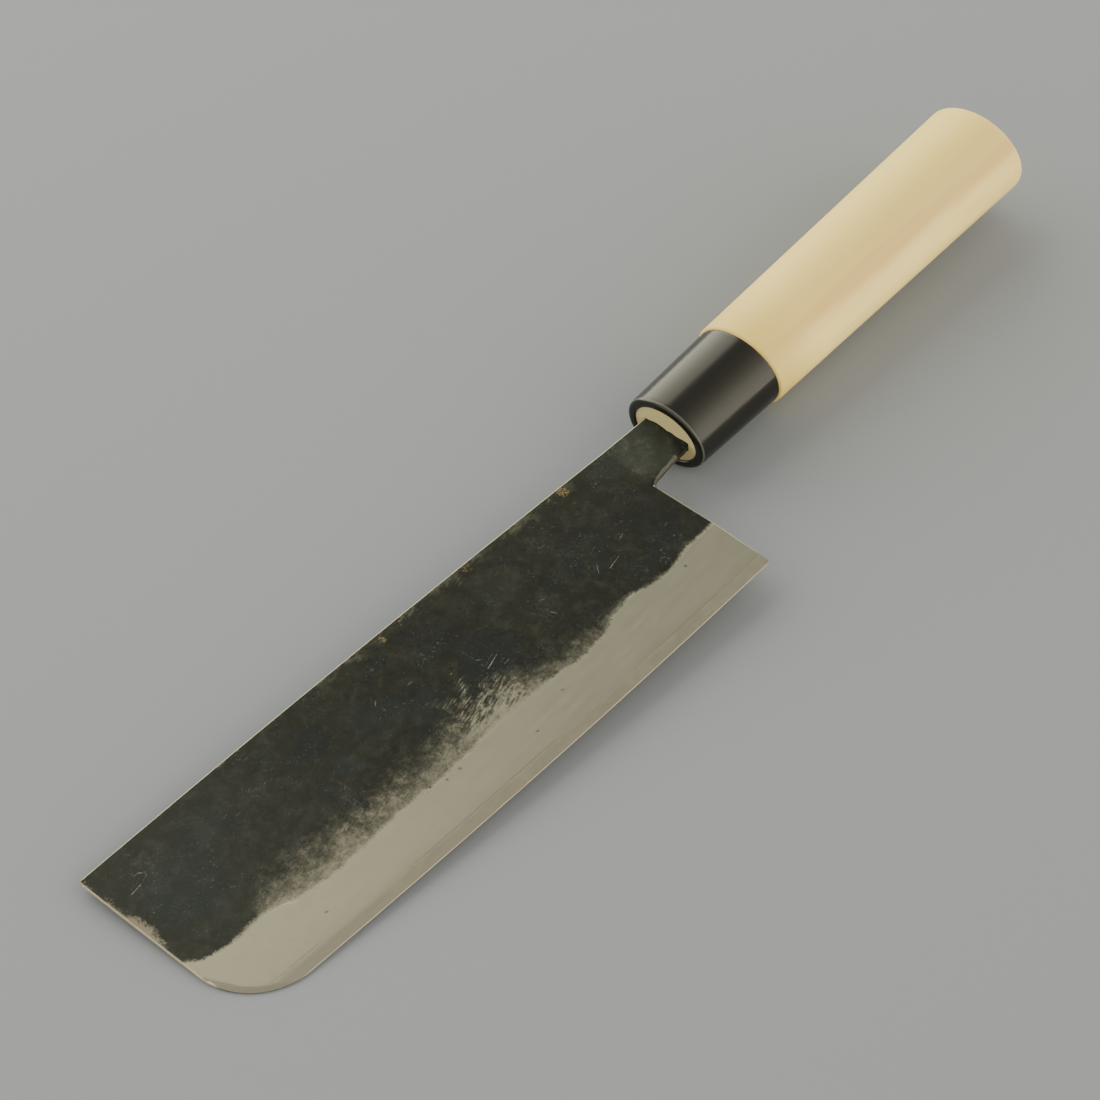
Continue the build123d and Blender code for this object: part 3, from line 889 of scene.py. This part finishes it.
butt_cos, butt_sin = rounding(9)
shoulder_cos, shoulder_sin = rounding(7)
butt_x = handle_length - butt_inset
grip_x = np.linspace(ferrule_length + shoulder_radius, butt_x - butt_radius, 80)[1:-1]
round_x = butt_x - butt_radius * (1 - butt_sin[::-1])
shoulder_x = ferrule_length + shoulder_radius * (1 - shoulder_sin)
x = np.concatenate([round_x, grip_x[::-1], shoulder_x])
inset = np.concatenate([butt_radius * (1 - butt_cos[::-1]), 0 * grip_x,
                        shoulder_radius * (1 - shoulder_cos)])
wide = shoulder_half_width + (x - ferrule_length) / (handle_length - ferrule_length) * (
    butt_half_width - shoulder_half_width) - butt_inset
disc = np.linspace(0, 1, 12)[1:-1]
end = wide[0] - inset[0], wide[0] * oval_share - inset[0]
x = np.concatenate([np.full(len(disc), butt_x), x])
half_width = np.concatenate([disc * end[0], wide - inset])
half_thickness = np.concatenate([disc * end[1], wide * oval_share - inset])
tenon_x = np.array([ferrule_length, 20 * mm, 10 * mm, 2 * mm, tenon_recess + tenon_round,
                    tenon_recess])
tenon_inset = tenon_clearance + np.array([0, 0, 0, 0, 0, tenon_round])
x = np.concatenate([x, tenon_x])
half_width = np.concatenate([half_width, bore_half_width - tenon_inset])
half_thickness = np.concatenate([half_thickness, bore_half_thickness - tenon_inset])
rings = oval_rings(x, half_width, half_thickness)
mouth = slot_ring(0, tang_clearance)
wander = rough_noise(mouth[:, 1], mouth[:, 2], 1.6 * mm, 70, 3)
chip = slot_chip * np.exp(-((mouth[:, 1] - chip_middle) / chip_half) ** 4)
chip = chip * (mouth[:, 2] > 0)
mouth = slot_ring(0, tang_clearance + np.clip(wander, 0, 1) * slot_wander)
mouth[:, 2] += chip
mouth[:, 0] = tenon_recess
face = [rings[-1] * (1 - share) + mouth * share for share in np.linspace(0, 1, 10)[1:]]
slot = [slot_ring(depth, tang_clearance) for depth in np.linspace(
    2 * mm, tang_depth + tang_end_clearance, 12)]
rings = np.concatenate([rings, face, slot])
butt_pole = np.array([[butt_x, 0, 0]])
slot_pole = slot[-1].mean(0, keepdims=True)
points = np.concatenate([rings.reshape(-1, 3), butt_pole, slot_pole])
quads = ring_quads(len(rings), around, False)[:, ::-1]
count = len(rings) * around
ring = np.arange(around)
after = (ring + 1) % around
last = count - around
caps = [np.stack([ring, after, np.full(around, count)], 1)[:, ::-1],
        np.stack([ring, after, np.full(around, count + 1)], 1) + (last, last, 0)]
slant = np.abs(np.gradient(points[:count].reshape(-1, around, 3), axis=0)[..., 0])
flat = (slant < 0.01 * mm) | (points[:count, 0].reshape(-1, around) < mm)
end_grain = np.append(flat.astype(float).ravel(), (1, 1))
piece = make_piece("wooden_handle", points, quads.tolist() + caps[0].tolist() + caps[1].tolist(),
                   wood_paint(), {"end_grain": end_grain})
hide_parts("handle")


# Floor, light and camera: a plain pale floor, one wide soft panel behind the knife in a room
# with light walls, a dim ceiling and a glow from one side, as the ferrule reflects them, and
# the photograph's viewing angle.
from mathutils import Quaternion, Vector
floor_size = 6.0
floor_mesh = bpy.data.meshes.new("floor")
corners = np.array([(-1, -1, 0), (1, -1, 0), (1, 1, 0), (-1, 1, 0)]) * floor_size / 2
floor_mesh.from_pydata(corners.tolist(), [], [(0, 1, 2, 3)])
floor = bpy.data.objects.new("floor", floor_mesh)
bpy.context.scene.collection.objects.link(floor)
floor_paint = Paint("pale_floor")
floor_mesh.materials.append(floor_paint.surface(Base_Color=(0.198, 0.216, 0.252), Roughness=0.9))


def aim(thing, place, target):
    """Puts a thing at a place and turns its front to the target."""
    thing.location = place
    thing.rotation_mode = "QUATERNION"
    thing.rotation_quaternion = (Vector(target) - Vector(place)).to_track_quat("-Z", "Y")


def soft_panel(name, azimuth, distance, width, bottom, top, glow, colour):
    """An upright light panel at an azimuth from the row's +X, facing the knife. Its power is
    its glow times its area and pi."""
    light = bpy.data.lights.new(name, "AREA")
    light.shape = "RECTANGLE"
    light.size, light.size_y = width, top - bottom
    light.energy = glow * width * (top - bottom) * np.pi
    light.color = colour
    lamp = bpy.data.objects.new(name, light)
    bpy.context.scene.collection.objects.link(lamp)
    turn, middle = np.radians(azimuth), (top + bottom) / 2
    aim(lamp, (distance * np.cos(turn), distance * np.sin(turn), middle), (0, 0, middle))


soft_panel("key_panel", azimuth=83, distance=1.2, width=2.6, bottom=0.02, top=2.2, glow=3.2,
           colour=(1.0, 0.96, 0.76))
side_azimuth, side_rise = np.radians((-60, 2))
side_narrowness = 2.5
side_light = (4.8, 4.4, 3.5)
wall_light = (2.2, 2.12, 1.76)
ceiling_light = (0.46, 0.45, 0.39)
world = bpy.data.worlds.new("studio")
bpy.context.scene.world = world
room = Nodes(world)
direction = room.node("ShaderNodeTexCoord", {}, {}, "Generated")
side = tuple(np.array([np.cos(side_azimuth) * np.cos(side_rise),
                       np.sin(side_azimuth) * np.cos(side_rise), np.sin(side_rise)]))
lobe, rise = (room.node("ShaderNodeVectorMath", {"operation": "DOT_PRODUCT"},
                        {0: direction, 1: toward}, "Value") for toward in (side, (0, 0, 1)))
walls = room.mix(room.step(rise, 0.30, 0.80), wall_light, ceiling_light)
glow = room.math("POWER", room.math("MAXIMUM", lobe, 0.0), side_narrowness)
light = room.mix(glow, walls, side_light)
room.put(room.nodes["Background"].inputs["Color"], light)
room.put(room.nodes["Background"].inputs["Strength"], 1.0)

camera_place = (-0.3445, -0.2957, 0.4869)
camera_target = (-0.02206, 0.01036, 0.010)
camera_roll = np.radians(-3.468)
sensor_width, focal_length = 36, 91.56
lens = bpy.data.cameras.new("camera")
lens.sensor_width = sensor_width
lens.lens = focal_length
lens.clip_start = 0.01
camera = bpy.data.objects.new("camera", lens)
bpy.context.scene.collection.objects.link(camera)
aim(camera, camera_place, camera_target)
camera.rotation_quaternion = camera.rotation_quaternion @ Quaternion((0, 0, 1), camera_roll)
bpy.context.scene.camera = camera
